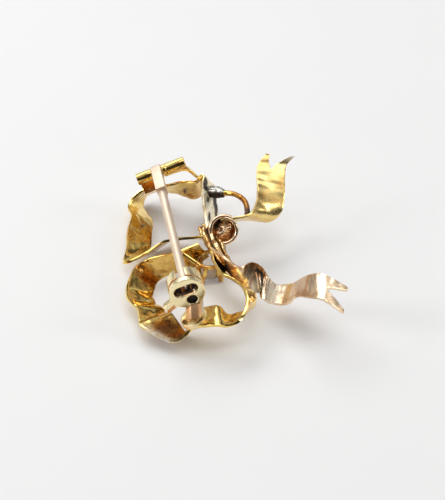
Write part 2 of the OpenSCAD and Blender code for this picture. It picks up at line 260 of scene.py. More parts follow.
def goldWearAndShadeGroup(look):
    # colour patches, polishing scratches and pits of worn jewellery gold, and its stains, pale wash and soot,
    # which also carry painted shade, shadow and highlights
    group = bpy.data.node_groups.new("goldWearAndShade", "ShaderNodeTree")
    face = group.interface
    for name, kind, value in (("Coordinates", "Vector", (0, 0, 0)), ("Wear And Shade", "Vector", (0, 0, 0)),
                              ("Bright Gold", "Color", (0.9, 0.7, 0.3, 1)),
                              ("Deep Gold", "Color", (0.5, 0.25, 0.06, 1)),
                              ("Patches", "Float", 0.3), ("Polish Roughness", "Float", 0.15),
                              ("Scratch Depth", "Float", 0.3), ("Metal", "Float", 1.0)):
        socket = face.new_socket(name=name, in_out="INPUT", socket_type="NodeSocket" + kind)
        socket.default_value = value
    for name in ("Color", "Roughness", "Height", "Metallic"):
        kind = "Color" if name == "Color" else "Float"
        face.new_socket(name=name, in_out="OUTPUT", socket_type="NodeSocket" + kind)
    start = group.nodes.new("NodeGroupInput").outputs
    end = group.nodes.new("NodeGroupOutput").inputs
    link = group.links.new
    patches = clouded(group, start["Coordinates"], Scale=0.55, Detail=3.0, Roughness=0.55)
    mottle = clouded(group, start["Coordinates"], Scale=2.6, Detail=4.0, Roughness=0.65)
    pits = clouded(group, start["Coordinates"], Scale=3.5, Detail=2.0)
    lines = []
    for turn, squeeze in look["scratches"]:
        bent = put(group, "ShaderNodeMapping", Rotation=turn, Scale=squeeze)
        link(start["Coordinates"], bent.inputs["Vector"])
        lines.append(clouded(group, bent.outputs["Vector"], Scale=1.0, Detail=2.0, Roughness=0.5))
    scratched = computed(group, "MAXIMUM", *lines)
    parts = put(group, "ShaderNodeSeparateXYZ")
    link(start["Wear And Shade"], parts.inputs[0])
    stainAndShade, washAndSheen, sootAndShade = parts.outputs
    # how deep the colour is: patches of the alloy, and stains and painted shade where the piece says so
    mild = computed(group, "MULTIPLY", ranged(group, patches, look["patchRange"]), start["Patches"])
    mottled = ranged(group, mottle, look["mottleRange"], look["mottleStrength"])
    stainedAndShaded = computed(group, "MULTIPLY", mottled, stainAndShade)
    depth = computed(group, "ADD", mild, stainedAndShaded, clamp=True)
    colour = blended(group, depth, start["Bright Gold"], start["Deep Gold"])
    # pale wash of solder and painted highlights, then soot and painted shade in hollows and corners
    paled = computed(group, "MULTIPLY", mottled, washAndSheen, clamp=True)
    colour = blended(group, paled, colour, look["washAndSheenColour"])
    sootyAndShaded = ranged(group, computed(group, "MULTIPLY", mottled, sootAndShade, clamp=True), look["sootAndShadeEdge"])
    link(blended(group, sootyAndShaded, colour, look["sootAndShadeColour"]), end["Color"])
    # roughness
    haze = ranged(group, scratched, look["scratchRange"], look["scratchRoughness"])
    rough = computed(group, "ADD", haze, start["Polish Roughness"])
    rough = computed(group, "MULTIPLY_ADD", stainedAndShaded, look["stainAndShadeRoughness"], rough)
    rough = computed(group, "MULTIPLY_ADD", washAndSheen, look["washAndSheenRoughness"], rough)
    link(computed(group, "MULTIPLY_ADD", sootyAndShaded, look["sootAndShadeRoughness"], rough), end["Roughness"])
    # how metallic
    metal = computed(group, "MULTIPLY_ADD", washAndSheen, look["washAndSheenMetal"], start["Metal"], clamp=True)
    metal = computed(group, "MULTIPLY_ADD", sootyAndShaded, look["sootAndShadeMetal"], metal, clamp=True)
    link(metal, end["Metallic"])
    # height
    cut = computed(group, "MULTIPLY", scratched, start["Scratch Depth"])
    link(computed(group, "MULTIPLY_ADD", pits, look["pitDepth"], cut), end["Height"])
    return group


goldWearAndShade = goldWearAndShadeGroup(goldWearAndShadeLook)


def goldFinish(name, finish):
    mat = newMaterial(name)
    tree = mat.node_tree
    link = tree.links.new
    where = put(tree, "ShaderNodeTexCoord")
    inMm = put(tree, "ShaderNodeMapping", Scale=(1000, 1000, 1000))
    stainAndShade = put(tree, "ShaderNodeAttribute", attribute_name="wearAndShade")
    wearAndShade = put(tree, "ShaderNodeGroup", node_tree=goldWearAndShade, Bright_Gold=(*finish["bright"], 1),
               Deep_Gold=(*finish["deep"], 1), Patches=finish["patches"], Metal=finish["metal"],
               Polish_Roughness=finish["roughness"], Scratch_Depth=finish["scratches"])
    bump = put(tree, "ShaderNodeBump", Strength=finish["bump"], Distance=goldWearAndShadeLook["relief"])
    shader = principled(tree, wearAndShade.outputs["Color"])
    link(where.outputs["Object"], inMm.inputs["Vector"])
    link(inMm.outputs["Vector"], wearAndShade.inputs["Coordinates"])
    link(stainAndShade.outputs["Vector"], wearAndShade.inputs["Wear And Shade"])
    link(wearAndShade.outputs["Roughness"], shader.inputs["Roughness"])
    link(wearAndShade.outputs["Metallic"], shader.inputs["Metallic"])
    link(wearAndShade.outputs["Height"], bump.inputs["Height"])
    link(bump.outputs["Normal"], shader.inputs["Normal"])
    return mat


finishes = {
    "yellowGold": {"bright": (0.98, 0.71, 0.22), "deep": (0.42, 0.15, 0.02), "patches": 0.3,
                   "roughness": 0.09, "scratches": 0.35, "bump": 0.2, "metal": 1.0},
    "tailGold": {"bright": (0.97, 0.74, 0.30), "deep": (0.66, 0.34, 0.08), "patches": 0.3,
                 "roughness": 0.23, "scratches": 0.35, "bump": 0.2, "metal": 1.0},
    "knotGold": {"bright": (0.92, 0.68, 0.33), "deep": (0.38, 0.19, 0.05), "patches": 0.35,
                 "roughness": 0.14, "scratches": 0.3, "bump": 0.15, "metal": 1.0},
    "roseGold": {"bright": (1.0, 0.77, 0.53), "deep": (0.54, 0.24, 0.07), "patches": 0.3,
                 "roughness": 0.17, "scratches": 0.5, "bump": 0.2, "metal": 0.95},
    "pinGold": {"bright": (0.84, 0.70, 0.56), "deep": (0.70, 0.52, 0.38), "patches": 0.4,
                "roughness": 0.5, "scratches": 0.5, "bump": 0.15, "metal": 0.8},
    "catchGold": {"bright": (1.0, 0.87, 0.52), "deep": (0.58, 0.21, 0.05), "patches": 0.08,
                  "roughness": 0.22, "scratches": 0.05, "bump": 0.015, "metal": 0.95},
    "postGold": {"bright": (1.0, 0.70, 0.42), "deep": (0.76, 0.36, 0.12), "patches": 0.25,
                 "roughness": 0.3, "scratches": 0.2, "bump": 0.1, "metal": 0.75},
    "solderGrey": {"bright": (0.60, 0.59, 0.54), "deep": (0.12, 0.11, 0.09), "patches": 0.7,
                   "roughness": 0.2, "scratches": 0.4, "bump": 0.3, "metal": 1.0},
}
gold = {name: goldFinish(name, finish) for name, finish in finishes.items()}


def stoneFinish():
    mat = newMaterial("clearStone")
    tree = mat.node_tree
    where = put(tree, "ShaderNodeTexCoord")
    tint = put(tree, "ShaderNodeValToRGB")
    tint.color_ramp.elements[0].color = (0.86, 0.84, 0.86, 1)
    tint.color_ramp.elements[1].color = (1, 0.99, 0.97, 1)
    clouds = clouded(tree, where.outputs["Object"], Scale=900.0, Detail=3.0)
    tree.links.new(clouds, tint.inputs["Fac"])
    principled(tree, tint.outputs["Color"], Roughness=0.06, IOR=2.0, Transmission_Weight=0.3)
    return mat


clearStone = stoneFinish()
print("finishes ready")


# Ribbon: one row for each bend. It gives the edge on the back, in shares of the spread, the way
# the width runs from there towards the front, and the share of the full width
ribbon = {
    "width": 2.9, "thickness": 0.26, "edge": 0.045,
    "fine": 14, "across": 14,  # steps to a row, and to the width
    "fork": 0.4, "seam": 0.002,  # how far a tail's notch opens to each side of its middle, and its weld
}


def stripFrame(path, i):
    # edge on the back, whole width and the face's normal at one station
    def station(k):
        s = path[min(max(k, 0), len(path) - 1)]
        width = Vector((s[3], s[4], -s[5])).normalized() * ribbon["width"] * s[6]
        return Vector(s[0:3]) * lie["spread"], width

    edge, wide = station(i)
    edgeBefore, wideBefore = station(i - 1)
    edgeAfter, wideAfter = station(i + 1)
    ahead = edgeAfter + wideAfter / 2 - edgeBefore - wideBefore / 2
    return edge, wide, ahead.cross(wide).normalized()


def shapeStrip(obj, path, liftAt, low=lambda i: 0.0, high=lambda i: 1.0):
    # wraps a flat unit grid onto the ribbon's stations, its x across and its y along the ribbon
    last = len(path) - 1
    frames = [stripFrame(path, i) for i in range(last + 1)]

    def at(flat):
        i = round((flat.y + 0.5) * last)
        row = i / ribbon["fine"]
        share = low(i) + (high(i) - low(i)) * (flat.x + 0.5)
        edge, wide, face = frames[i]
        p = edge + wide * share
        return p + face * liftAt(row, share, p), (row, share, 0)

    reshape(obj, at)


def stripGrid(name, last, across):
    bpy.ops.mesh.primitive_grid_add(x_subdivisions=across, y_subdivisions=last, size=1)
    return added(name)


def stainAndShadeBy(obj, depthAt, paleWashAt=None, sootAndShadeAt=None):
    # at each point from 0 to 1: depth of the gold's colour and painted shade, pale wash of solder and painted
    # highlights, soot and painted shade
    way = obj.data.attributes.get("way")
    layer = obj.data.attributes.new("wearAndShade", "FLOAT_VECTOR", "POINT")
    for v in obj.data.vertices:
        where = way.data[v.index].vector if way else v.co
        layer.data[v.index].vector = [max(0.0, min(1.0, at(where))) if at else 0.0
                                      for at in (depthAt, paleWashAt, sootAndShadeAt)]


# Ragged edges of the ribbons' stains, painted shade and painted highlights
spotEdge = {"depth": 0.6, "along": 4.5, "across": 11, "seed": 0.4}


def spots(*places):
    # stains, painted shade and painted highlights at (row, share of the width, rows to each side, widths to
    # each side, depth)
    def depth(w):
        edge = noise.noise(Vector((spotEdge["along"] * w[0], spotEdge["across"] * w[1], spotEdge["seed"])))
        total = 0.0
        for row, share, rows, shares, most in places:
            away = ((w[0] - row) / rows) ** 2 + ((w[1] - share) / shares) ** 2
            total += most * math.exp(-away - spotEdge["depth"] * edge)
        return total
    return depth


def thicken(obj, thickness=ribbon["thickness"]):
    modify(obj, "SOLIDIFY", thickness=thickness, offset=0)
    bevel(obj, ribbon["edge"], 2, 55)
    smooth(obj, 50)


def finishStrip(obj, piece):
    stainAndShadeBy(obj, piece["stainAndShade"], piece.get("paleWash"), piece.get("sootAndShade"))
    thicken(obj)
    return obj


def ribbonStrip(name, piece):
    path = stations(piece["rows"], ribbon["fine"])
    obj = stripGrid(name, len(path) - 1, ribbon["across"])
    shapeStrip(obj, path, piece["relief"])
    return finishStrip(obj, piece)


def swallowStrip(name, piece):
    # ribbon whose last stretch is cut into two points
    path = stations(piece["rows"], ribbon["fine"])
    last = len(path) - 1
    cut = last - round(piece["notch"] * ribbon["fine"])

    def fork(i):
        return ribbon["fork"] * max(0, i - cut) / (last - cut)

    def half(**limits):
        obj = stripGrid(name, last, ribbon["across"] // 2)
        shapeStrip(obj, path, piece["relief"], **limits)
        return obj

    obj = joinAll(name, [half(high=lambda i: 0.5 - fork(i)), half(low=lambda i: 0.5 + fork(i))])
    editAll(obj)
    bpy.ops.mesh.remove_doubles(threshold=ribbon["seam"])
    closeEdit()
    return finishStrip(obj, piece)


# Relief of the ribbons in mm, at s rows along, t widths across and the point p
softWaves = crumple(0.55, 0.05, 3.0)
smallDents = crumple(1.5, 0.03, 9.0)
wallDents = crumple(1.9, 0.07, 1.0)
relief = {
    "beatenRows": 3.0,
    # tails
    "tailDents": 0.3, "bands": 9.5, "bandDepth": 0.011, "bandBend": 2.5, "bandScale": 0.7,
    # near tail's fold, and the creases at its root
    "crestRow": 4.0, "crestRows": 0.9, "hollow": 0.16, "ridges": 13.0, "ridgeDepth": 0.05,
    "creaseRow": 2.1, "creaseRows": 0.95, "creasesAcross": 1.7, "creasesAlong": 0.8,
    "creaseBend": 1.3, "creaseDepth": 0.16, "creaseShade": 1.3,
    # near loop's ribs, deepest at ribRow and gone as many rows to each side
    "ribRow": 2.6, "ribsAlong": 7.5, "ribsAcross": 2.2, "ribBend": 0.9, "ribScale": 0.8,
    "ribDepth": 0.034, "ribCalm": 0.6,
}


def hammered(s, t, p):
    return softWaves(p) + smallDents(p)


def beaten(s, t, p):
    # the far loop's wall by the knot is dented by the soldering
    return hammered(s, t, p) + max(0.0, 1 - s / relief["beatenRows"]) * wallDents(p)


def drawn(s, t, p):
    # smoother ribbon of the tails, with faint bands across it
    bands = math.sin(relief["bands"] * s + relief["bandBend"] * noise.noise(p * relief["bandScale"]))
    return softWaves(p) + relief["tailDents"] * smallDents(p) + relief["bandDepth"] * bands


def folded(s, t, p):
    # the near tail's root folds over beside the knot, with a hollow under its crest
    hollow = relief["hollow"] * math.sin(2 * math.pi * t)
    ridges = relief["ridgeDepth"] * math.sin(relief["ridges"] * s)
    over = bell(s, relief["crestRow"], relief["crestRows"])
    return drawn(s, t, p) + over * (hollow + ridges) - relief["creaseDepth"] * crevice(s, t)


def crevice(s, t):
    # creases that run slanting over the near tail's root
    slant = relief["creasesAcross"] * t + relief["creasesAlong"] * s
    bend = relief["creaseBend"] * math.sin(3 * s)
    line = (0.5 + 0.5 * math.sin(2 * math.pi * slant + bend)) ** 4
    return bell(s, relief["creaseRow"], relief["creaseRows"]) * line


def creased(*places):
    # spots, and painted shade along the creases
    marks = spots(*places)
    return lambda w: marks(w) + relief["creaseShade"] * crevice(w[0], w[1])


def ribbed(s, t, p):
    # fine slanting ribs on the left wall of the near loop
    bend = relief["ribBend"] * noise.noise(p * relief["ribScale"])
    slant = relief["ribsAlong"] * s + relief["ribsAcross"] * t + bend
    fade = max(0.0, 1 - abs(s - relief["ribRow"]) / relief["ribRow"])
    ribs = relief["ribDepth"] * fade * math.sin(2 * math.pi * slant)
    return hammered(s, t, p) * (1 - relief["ribCalm"] * fade) + ribs


farLoopPiece = {
    "rows": [
        (0.29, 0.12, 0.00, 0.4, 1.9, 2.2, 0.8),
        (0.32, 0.40, 0.04, 1.0, 1.8, 2.3, 1.0),
        (0.36, 0.75, 0.05, 1.0, 1.6, 2.4, 1.0),
        (0.41, 0.97, 0.06, 0.5, 1.1, 2.8, 1.0),
        (0.33, 0.86, 0.09, -0.8, 0.9, 2.7, 1.0),
        (0.25, 0.86, 0.12, -1.0, 1.3, 2.6, 1.0),
        (0.16, 0.89, 0.13, -0.9, 1.7, 2.4, 1.0),
        (0.03, 0.90, 0.14, -0.5, 2.1, 2.3, 1.0),
        (-0.11, 0.95, 0.15, 0.0, 2.0, 2.2, 1.0),
        (-0.24, 0.99, 0.12, 0.4, 2.0, 2.2, 1.0),
        (-0.35, 0.99, 0.07, 0.9, 2.0, 2.1, 1.0),
        (-0.41, 0.90, 0.05, 1.2, 1.9, 2.2, 1.0),
        (-0.40, 0.74, 0.06, 1.6, 0.9, 2.3, 1.0),
        (-0.47, 0.49, 0.08, 2.1, 0.8, 2.0, 1.0),
        (-0.51, 0.27, 0.07, 2.1, 1.0, 1.9, 1.0),
        (-0.57, 0.07, 0.05, 2.2, 1.6, 1.2, 1.0),
        (-0.37, 0.12, 0.02, 0.7, 2.3, 1.9, 1.0),
        (-0.15, 0.21, 0.01, 0.6, 2.3, 1.9, 1.0),
        (0.04, 0.17, 0.00, 0.5, 2.2, 2.0, 1.0),
        (0.25, 0.08, 0.00, 0.4, 1.9, 2.2, 0.8),
    ],
    "relief": beaten,
    "stainAndShade": spots((4.6, 0.7, 1.2, 0.5, 0.7), (8, 0.9, 2, 0.3, 0.5), (13, 0.6, 0.8, 0.5, 0.5),
                   (17, 1, 3, 0.4, 0.8)),
    # solder wash, made paler still as a painted highlight on the wall by the knot
    "paleWash": spots((1.4, 0.35, 1.6, 0.8, 0.8)),
    # the soot at row 2.0, share 0.8, is the painted shadow of the solder blob
    "sootAndShade": spots((2.35, 0.16, 0.36, 0.13, 2.0), (1.35, 0.86, 0.45, 0.12, 2.2), (2.0, 0.8, 0.2, 0.3, 1.8),
                  (0.8, 0.3, 0.2, 0.12, 1.6), (1.55, 0.3, 0.14, 0.12, 1.5), (1.75, 0.5, 0.1, 0.1, 1.3),
                  (5, 0.55, 0.3, 0.25, 0.9), (9.5, 0.5, 0.7, 0.35, 0.45), (12.6, 0.62, 0.5, 0.3, 0.6)),
}
nearLoopPiece = {
    "rows": [
        (0.18, -0.02, 0.02, 0.5, 0.6, 2.6, 0.8),
        (-0.06, -0.05, 0.05, 0.9, 0.1, 2.8, 1.0),
        (-0.21, -0.07, 0.09, 1.0, 0.0, 2.8, 1.0),
        (-0.34, -0.08, 0.11, 1.1, -0.1, 2.7, 1.0),
        (-0.45, -0.14, 0.12, 1.2, -0.2, 2.6, 1.0),
        (-0.52, -0.24, 0.12, 1.5, -0.2, 2.4, 1.0),
        (-0.58, -0.36, 0.11, 1.8, 0.0, 2.2, 1.0),
        (-0.60, -0.49, 0.10, 2.1, 0.4, 1.9, 1.0),
        (-0.56, -0.61, 0.08, 1.7, 1.1, 1.9, 1.0),
        (-0.53, -0.69, 0.06, 2.0, 1.2, 1.8, 1.0),
        (-0.54, -0.84, 0.05, 2.2, 1.3, 1.3, 1.1),
        (-0.54, -0.91, 0.07, 2.2, 1.1, 0.9, 1.2),
        (-0.49, -0.99, 0.05, 2.1, 1.2, 1.2, 1.2),
        (-0.36, -1.12, -0.01, 1.5, 1.5, 1.6, 1.1),
        (-0.26, -1.18, -0.04, 1.0, 2.1, 1.3, 1.0),
        (-0.17, -1.18, -0.01, 0.8, 2.3, 1.0, 1.0),
        (-0.05, -1.17, 0.03, 0.5, 2.7, 0.6, 1.0),
        (0.08, -1.24, 0.05, 0.4, 2.8, 0.3, 1.0),
        (0.17, -1.28, 0.05, 0.4, 2.7, 0.3, 1.0),
        (0.23, -1.29, 0.03, 0.4, 2.6, 1.1, 0.9),
        (0.32, -1.29, 0.02, 0.4, 2.5, 1.2, 1.0),
        (0.41, -1.21, 0.01, 0.5, 2.3, 1.7, 1.0),
        (0.47, -1.05, 0.00, 0.6, 2.0, 2.1, 1.0),
        (0.48, -0.87, 0.00, 0.7, 1.8, 2.3, 1.0),
        (0.42, -0.70, 0.00, 0.7, 1.7, 2.4, 1.0),
        (0.32, -0.54, 0.00, 0.6, 1.6, 2.4, 1.0),
        (0.28, -0.33, 0.00, 0.5, 1.6, 2.4, 0.9),
        (0.28, -0.14, 0.00, 0.4, 1.7, 2.3, 0.8),
    ],
    "relief": ribbed,
    # painted shade: the deep spot at row 12.5 and the soot at row 12.4 darken the quad at the loop's lower
    # left
    "stainAndShade": spots((1.6, 0.5, 1.6, 0.8, 0.5), (4.2, 0.55, 0.8, 0.7, 1.4), (12.5, 0.6, 0.9, 0.6, 1.7),
                   (18, 0.8, 2, 0.4, 0.4)),
    "paleWash": spots((12.9, 0.05, 1.2, 0.16, 0.7)),
    "sootAndShade": spots((5.6, 0.5, 0.8, 0.5, 0.45), (3.2, 0.3, 0.5, 0.3, 0.3), (12.4, 0.6, 0.7, 0.5, 0.62)),
}
farTailPiece = {
    "rows": [
        (0.46, 0.10, 0.10, -0.1, 2.3, 1.9, 1.0),
        (0.66, 0.12, 0.04, 0.5, 1.9, 2.2, 1.0),
        (0.76, 0.14, 0.03, 1.4, 0.8, 2.4, 1.0),
        (0.85, 0.29, 0.04, 1.9, -0.3, 2.1, 1.0),
        (0.90, 0.45, 0.08, 2.2, -0.5, 1.6, 1.0),
        (0.93, 0.57, 0.12, 2.3, -0.4, 1.3, 1.0),
        (0.98, 0.68, 0.15, 2.5, -0.3, 1.0, 1.0),
        (1.09, 0.76, 0.18, 2.7, -0.8, 1.0, 1.0),
    ],
    "notch": 1.44,  # rows
    "relief": drawn,
    "stainAndShade": spots((1.6, 0.4, 0.4, 0.8, 0.4), (3.4, 0.5, 0.25, 0.9, 0.5), (4.6, 0.9, 0.6, 0.2, 0.6),
                   (6.2, 0.2, 0.6, 0.3, 0.4)),
    # painted highlight: the pale wash lightens the tail's tip
    "paleWash": spots((7.0, 0.95, 0.8, 0.3, 0.9)),
}
nearTailPiece = {
    "rows": [
        (0.26, -0.06, 0.00, 0.3, -0.4, 2.2, 0.70),
        (0.38, -0.35, 0.04, 0.2, -1.0, 2.0, 0.80),
        (0.50, -0.56, 0.02, 0.0, -1.6, 2.1, 0.90),
        (0.62, -0.57, 0.03, -0.6, -1.6, 2.3, 1.00),
        (0.69, -0.59, -0.04, -0.9, -1.4, 1.8, 0.90),
        (0.71, -0.60, -0.15, -0.9, -1.8, 0.6, 0.90),
        (0.73, -0.61, -0.24, -1.0, -2.4, -0.2, 0.95),
        (0.77, -0.62, -0.31, -1.1, -2.6, -0.6, 1.00),
        (0.86, -0.66, -0.31, -1.1, -2.6, -0.3, 1.00),
        (0.93, -0.71, -0.28, -1.0, -2.6, -0.3, 1.00),
        (0.94, -0.72, -0.27, -0.3, -2.7, -0.8, 1.00),
        (1.07, -0.89, -0.09, -0.6, -2.8, 0.0, 1.00),
        (1.19, -1.01, -0.02, -0.8, -2.8, 0.4, 1.00),
        (1.28, -1.11, -0.04, -1.0, -2.7, 0.4, 1.00),
        (1.38, -1.23, -0.10, -1.2, -2.7, 0.3, 1.00),
    ],
    "notch": 1.44,  # rows
    "relief": folded,
    # painted shade: the deep spot at row 3.9 along the fold's crest, and the deep marks along the creases
    "stainAndShade": creased((3.9, 0.12, 0.95, 0.32, 1.9), (8.0, 0.8, 0.4, 0.3, 0.8), (10.2, 0.5, 0.35, 0.9, 0.5),
                     (11.2, 0.9, 1, 0.2, 0.4), (1.3, 0.08, 0.6, 0.1, 0.8), (1.0, 0.85, 0.3, 0.15, 0.6)),
    # painted light: these pale washes lighten the root's faces beside the knot and the tail beyond the fold
    "paleWash": spots((2.7, 0.85, 1.1, 0.25, 0.8), (1.9, 0.3, 0.6, 0.3, 0.4), (6.6, 0.5, 1.0, 0.8, 0.7)),
    # painted shade: the soot from row 3.35 to 4.45 darkens the hollow under the crest
    "sootAndShade": spots((3.35, 0.22, 0.3, 0.1, 1.1), (3.7, 0.22, 0.3, 0.1, 1.3), (4.15, 0.4, 0.22, 0.24, 1.7),
                  (4.45, 0.72, 0.22, 0.35, 1.8), (1.2, 0.12, 0.4, 0.05, 0.9)),
}

bowPiece(ribbonStrip("farLoop", farLoopPiece), gold["yellowGold"])
bowPiece(ribbonStrip("nearLoop", nearLoopPiece), gold["yellowGold"])
bowPiece(swallowStrip("farTail", farTailPiece), gold["tailGold"])
bowPiece(swallowStrip("nearTail", nearTailPiece), gold["roseGold"])
print("ribbons modelled")


# Hinge tube, and the narrow strip that carries its right length
hingePiece = {
    "y": 9.3, "height": 3.1, "tube": 1.2, "bore": 0.64, "left": 1.6, "right": 2.4, "gap": 0.555,
    "collar": 0.4, "groove": 0.04, "edge": 0.05,
}
seatStripPiece = {
    "height": hingePiece["height"] - 0.45 * hingePiece["tube"], "width": 0.2, "fine": 8, "across": 4,
    "rows": [  # x and y of the edge in shares of the spread, share of the height, lean to the front
        (0.06, 0.90, 1.00, 0.0),
        (0.16, 0.90, 1.00, 0.0),
        (0.27, 0.89, 0.97, 0.0),
        (0.32, 0.88, 0.76, 0.2),
        (0.35, 0.88, 0.48, 0.4),
        (0.39, 0.92, 0.26, 0.6),
    ],
}


def makeSeatStrip(piece):
    rows = [(x, y, share * piece["height"] / lie["spread"], 0.0, 1.0, lean, piece["width"])
            for x, y, share, lean in piece["rows"]]
    path = stations(rows, piece["fine"])
    obj = stripGrid("seatStrip", len(path) - 1, piece["across"])
    shapeStrip(obj, path, lambda s, t, p: 0.0)
    thicken(obj)
    return obj


bowPiece(makeSeatStrip(seatStripPiece), gold["yellowGold"])


def wirePiece(name, points, thickness, taper=None, sides=8):
    # round wire through the points, drawn as a curve and made a mesh
    bpy.ops.curve.primitive_bezier_curve_add(radius=1, location=(0, 0, 0))
    obj = added(name)
    curve = obj.data
    curve.splines.clear()
    line = curve.splines.new("BEZIER")
    line.bezier_points.add(len(points) - 1)
    for k, (point, p) in enumerate(zip(line.bezier_points, points)):
        point.co = p
        point.handle_left_type = point.handle_right_type = "AUTO"
        point.radius = taper[k] if taper else 1.0
    curve.dimensions = "3D"
    curve.resolution_u = 8
    curve.bevel_depth = thickness / 2
    curve.bevel_resolution = sides // 2
    curve.use_fill_caps = True
    activeOnly(obj)
    bpy.ops.object.convert(target="MESH")
    return added(name)


# Rolled curl beside the knot: a funnel with a crumpled floor and a rolled rim
curlPiece = {
    "middle": (4.58, 0.4, 0.2), "away": (-0.2, 2.3, -1.85), "radius": 1.4, "start": -64.0, "turn": 388.0,
    "around": 90, "along": 36, "skin": 0.12, "rim": 0.38, "rimSteps": 32, "rimOut": 0.02,
    "closer": 0.16,  # how much nearer to the middle the roll starts, so that its ends overlap
    # share of the radius, and depth
    "profile": [(1.0, 0.0), (0.9, 0.25), (0.82, 0.5), (0.68, 0.62), (0.4, 0.5), (0.02, 0.55)],
    "dents": (2.3, 0.26, 5.0), "waves": (14, 5), "waveDepth": 0.4,
    "ridgeTurn": 0.25, "ridgeAt": 0.1, "ridgeWidth": 0.22, "ridgeDepth": 0.3, "floorFrom": 0.55,
    # painted shade on the funnel's inner wall, in the troughs of its waves, in its deepest ring and in one
    # hollow of its floor; painted light on its floor
    "wallShadeRing": (0.5, 0.17), "stainAndShade": 1.8, "troughShade": 0.5,  # share of the way in, and reach
    "deepShadeRing": (0.46, 0.07), "sootAndShade": 0.62, "hollowShadeSpot": ((0.8, 0.12), (0.6, 0.2)),
    "floorSheenFrom": 0.7, "washAndSheen": 0.12,
}


def makeCurl(piece):
    w = Vector(piece["away"]).normalized()
    e = w.cross(Vector((0, 0, 1))).normalized()
    f = w.cross(e)
    profile = stations(piece["profile"], 8)
    dents = crumple(*piece["dents"])

    def wave(s, t, shift=0.0):
        return math.sin(piece["waves"][0] * s + piece["waves"][1] * t + shift)

    def at(s, t):
        a = math.radians(piece["turn"] * s + piece["start"])
        out = e * math.cos(a) + f * math.sin(a)
        r, deep = profile[round(t * (len(profile) - 1))]
        p = Vector(piece["middle"]) + out * r * piece["radius"] * (1 - piece["closer"] * (1 - s))
        deep += min(1.0, 2 * t) * dents(p) + piece["waveDepth"] * t * (1 - t) * wave(s, t)
        if t > piece["floorFrom"]:
            across = r * math.sin(a + piece["ridgeTurn"])
            deep -= piece["ridgeDepth"] * bell(across, piece["ridgeAt"], piece["ridgeWidth"])
        return p + w * deep

    def onFlat(flat):
        s, t = flat.y + 0.5, flat.x + 0.5
        return at(s, t), (s, t, 0)

    # painted shade on the inner wall and in the troughs
    def stainAndShade(q):
        troughs = max(0.0, wave(q.x, q.y, 1.5)) * (1 - q.y)
        return piece["stainAndShade"] * bell(q.y, *piece["wallShadeRing"]) + piece["troughShade"] * troughs

    # painted light: the floor washed paler
    def washAndSheen(q):
        return piece["washAndSheen"] * q.y if q.y > piece["floorSheenFrom"] else 0.0

    # painted shade in the deepest ring and in one hollow of the floor
    def sootAndShade(q):
        around, inwards = piece["hollowShadeSpot"]
        return piece["sootAndShade"] * bell(q.y, *piece["deepShadeRing"]) + bell(q.x, *around) * bell(q.y, *inwards)

    obj = stripGrid("curl", piece["around"], piece["along"])
    reshape(obj, onFlat)
    stainAndShadeBy(obj, stainAndShade, washAndSheen, sootAndShade)
    thicken(obj, piece["skin"])
    line = [at(k / piece["rimSteps"], 0) for k in range(piece["rimSteps"] + 1)]
    rim = wirePiece("curlRim", line, piece["rim"], sides=12)
    smooth(rim, 60)
    rim.data.transform(Matrix.Translation(w * piece["rimOut"]))
    return joinAll("curl", [obj, rim])


bowPiece(makeCurl(curlPiece), gold["roseGold"])


# Gathered ribbon of the knot
knotPiece = {
    "from": (2.7, 2.4, -0.2), "to": (3.9, -3.7, -0.4), "radius": 0.82, "ends": 0.6, "twist": 75.0,
    "folds": 6, "foldDepth": 0.36, "foldSway": 2.2, "foldSways": 3.4, "foldDrift": 1.6,
    "around": 144, "along": 110, "broadDents": (0.75, 0.2, 2.0), "smallDents": (2.2, 0.07, 7.0),
    "stainAndShade": 0.3, "creaseShade": 2.2, "patchStain": 1.6, "creaseDarkShade": 1.6, "darkShadeFrom": 0.5,
}


def makeKnot(piece):
    a, b = Vector(piece["from"]), Vector(piece["to"])
    bpy.ops.mesh.primitive_cylinder_add(vertices=piece["around"], radius=1, depth=1, end_fill_type="TRIFAN")
    obj = added("knot")
    applyPlace(obj)
    mesh = bmesh.new()
    mesh.from_mesh(obj.data)
    sides = [e for e in mesh.edges if abs(e.verts[0].co.z - e.verts[1].co.z) > 0.5]
    bmesh.ops.subdivide_edges(mesh, edges=sides, cuts=piece["along"])
    mesh.to_mesh(obj.data)
    mesh.free()
    broad = crumple(*piece["broadDents"])
    small = crumple(*piece["smallDents"])

    def at(place):
        s = place.z + 0.5
        turn = math.atan2(place.y, place.x)
        away = math.hypot(place.x, place.y)
        r = piece["radius"] * (piece["ends"] + (1 - piece["ends"]) * math.sin(math.pi * s ** 0.8))
        facing = math.radians(piece["twist"]) * s - turn
        out = Vector((math.cos(facing), 0, math.sin(facing)))
        p = a + (b - a) * s + out * r * away
        sway = piece["foldSway"] * math.sin(piece["foldSways"] * s)
        drift = piece["foldDrift"] * noise.noise(p * 0.9)
        crease = (0.5 + 0.5 * math.cos(piece["folds"] * turn + sway + drift)) ** 3
        patch = noise.noise(p * 1.3)
        return p + out * away * (broad(p) + small(p) - piece["foldDepth"] * crease), (crease, s, patch)

    reshape(obj, at)
    editAll(obj)
    bpy.ops.mesh.normals_make_consistent(inside=False)
    closeEdit()
    # painted shade: deeper colour and soot-dark in the creases of the folds; the patches are the ribbon's
    # uneven tone
    stainAndShadeBy(obj, lambda q: piece["stainAndShade"] + piece["creaseShade"] * q.x + piece["patchStain"] * q.z, None,
            lambda q: piece["creaseDarkShade"] * q.x - piece["darkShadeFrom"])
    smooth(obj, 70)
    return obj


bowPiece(makeKnot(knotPiece), gold["knotGold"])
print("curl and knot modelled")


def cast(obj, grain, rounds):
    # one even skin over the whole piece, as cast or soldered metal has
    modify(obj, "REMESH", mode="VOXEL", voxel_size=grain)
    modify(obj, "SMOOTH", factor=0.5, iterations=rounds)
    smooth(obj, 60)
    return obj


